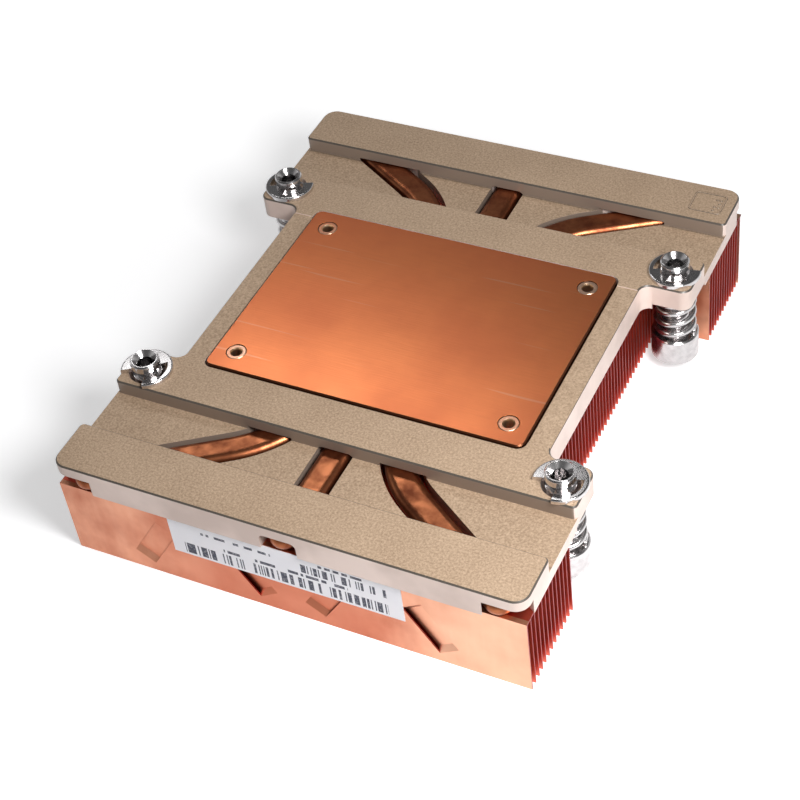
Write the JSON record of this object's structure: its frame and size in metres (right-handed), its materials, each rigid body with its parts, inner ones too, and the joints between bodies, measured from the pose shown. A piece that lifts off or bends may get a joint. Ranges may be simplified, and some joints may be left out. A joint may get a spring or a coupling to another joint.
{
  "type": "passive server cpu heatsink",
  "caption": "Low passive copper fin heatsink for a rack server: flattened heat pipes under a riveted contact plate, a cast carrier with eared corners and captive spring screws.",
  "frame": {"origin": "middle of the rectangle that the fins stand on, at the free edges of the fins", "axes": "+Z from the fins towards the contact plate, +Y along the stack of fins away from the labelled fin, +X across the plate to the right of the labelled fin"},
  "size_m": [0.101, 0.1204, 0.0286],
  "materials": {
    "cast_carrier": "sand-textured nickel-plated casting",
    "contact_copper": "brushed bare copper",
    "rivet_copper": "bare copper",
    "pipe_copper": "darkened copper",
    "fin_copper": "bare copper sheet",
    "label_paper": "matt paper",
    "screw_steel": "bright nickel plating",
    "clip_steel": "bright nickel plating",
    "spring_steel": "bright nickel plating"
  },
  "bodies": {
    "heatsink": {"base_plate": "cast_carrier", "cold_plate": "contact_copper", "rivet_1": "rivet_copper", "rivet_2": "rivet_copper", "rivet_3": "rivet_copper", "rivet_4": "rivet_copper", "heat_pipe_left": "pipe_copper", "heat_pipe_middle": "pipe_copper", "heat_pipe_right": "pipe_copper", "fin_first": "fin_copper", "fins_front": "fin_copper", "fins_middle": "fin_copper", "fins_rear": "fin_copper", "fin_last": "fin_copper", "label": "label_paper", "spring_1": "spring_steel", "spring_2": "spring_steel", "spring_3": "spring_steel", "spring_4": "spring_steel"},
    "float_1": {"clip_1": "clip_steel"},
    "float_2": {"clip_2": "clip_steel"},
    "float_3": {"clip_3": "clip_steel"},
    "float_4": {"clip_4": "clip_steel"},
    "driver_1": {"screw_1": "screw_steel"},
    "driver_2": {"screw_2": "screw_steel"},
    "driver_3": {"screw_3": "screw_steel"},
    "driver_4": {"screw_4": "screw_steel"}
  },
  "joints": [
    {"name": "screw_1_lift", "type": "slide", "parent": "heatsink", "child": "float_1", "axis": [0, 0, 1], "range_m": [0, 0.004], "stiffness_N_per_m": 3000, "springref_m": -0.003, "deforming": ["spring_1"]},
    {"name": "screw_2_lift", "type": "slide", "parent": "heatsink", "child": "float_2", "axis": [0, 0, 1], "range_m": [0, 0.004], "stiffness_N_per_m": 3000, "springref_m": -0.003, "deforming": ["spring_2"]},
    {"name": "screw_3_lift", "type": "slide", "parent": "heatsink", "child": "float_3", "axis": [0, 0, 1], "range_m": [0, 0.004], "stiffness_N_per_m": 3000, "springref_m": -0.003, "deforming": ["spring_3"]},
    {"name": "screw_4_lift", "type": "slide", "parent": "heatsink", "child": "float_4", "axis": [0, 0, 1], "range_m": [0, 0.004], "stiffness_N_per_m": 3000, "springref_m": -0.003, "deforming": ["spring_4"]},
    {"name": "screw_1_turn", "type": "hinge", "parent": "float_1", "child": "driver_1", "pos_m": [-0.0451, -0.0311, 0.0252], "axis": [0, 0, 1], "continuous": true},
    {"name": "screw_2_turn", "type": "hinge", "parent": "float_2", "child": "driver_2", "pos_m": [0.0451, -0.0311, 0.0252], "axis": [0, 0, 1], "continuous": true},
    {"name": "screw_3_turn", "type": "hinge", "parent": "float_3", "child": "driver_3", "pos_m": [-0.0451, 0.0311, 0.0252], "axis": [0, 0, 1], "continuous": true},
    {"name": "screw_4_turn", "type": "hinge", "parent": "float_4", "child": "driver_4", "pos_m": [0.0451, 0.0311, 0.0252], "axis": [0, 0, 1], "continuous": true}
  ]
}
